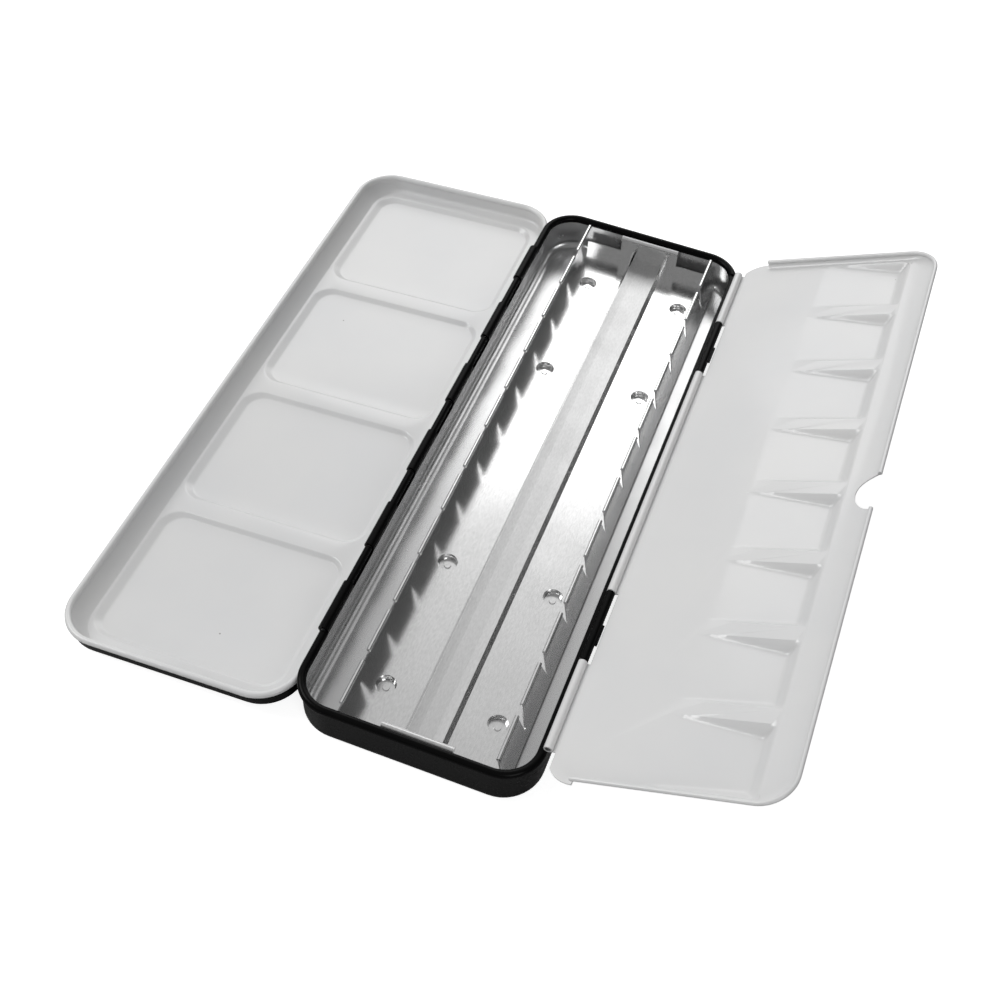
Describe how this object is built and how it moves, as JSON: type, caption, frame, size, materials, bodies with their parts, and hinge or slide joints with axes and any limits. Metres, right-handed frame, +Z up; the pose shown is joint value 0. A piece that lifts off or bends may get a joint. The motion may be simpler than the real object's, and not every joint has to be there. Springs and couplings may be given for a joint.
{
  "type": "watercolour paint tin",
  "caption": "Slim enamelled paint tin with a sprung pan holder, a hinged lid with mixing wells and a folding side palette with a thumb notch.",
  "frame": {"origin": "middle of the underside of the base tray", "axes": "+X towards the folding palette, +Y along the tin, +Z up"},
  "size_m": [0.1903, 0.2044, 0.042],
  "materials": {
    "black_enamel": "gloss",
    "white_enamel": "gloss",
    "tinplate": "bright",
    "steel_wire": "satin"
  },
  "bodies": {
    "base": {"base_tray": "black_enamel", "pan_holder": "tinplate", "lid_hinge_pin": "steel_wire", "palette_hinge_wire": "steel_wire"},
    "lid": {"lid": "white_enamel"},
    "palette": {"mixing_palette": "white_enamel"}
  },
  "joints": [
    {"name": "lid_hinge", "type": "hinge", "parent": "base", "child": "lid", "pos_m": [-0.0321, 0, 0.01315], "axis": [0, 1, 0], "range_deg": [0, 183.9]},
    {"name": "palette_hinge", "type": "hinge", "parent": "base", "child": "palette", "pos_m": [0.033, 0, 0.0143], "axis": [0, -1, 0], "range_deg": [0, 155.3]}
  ]
}
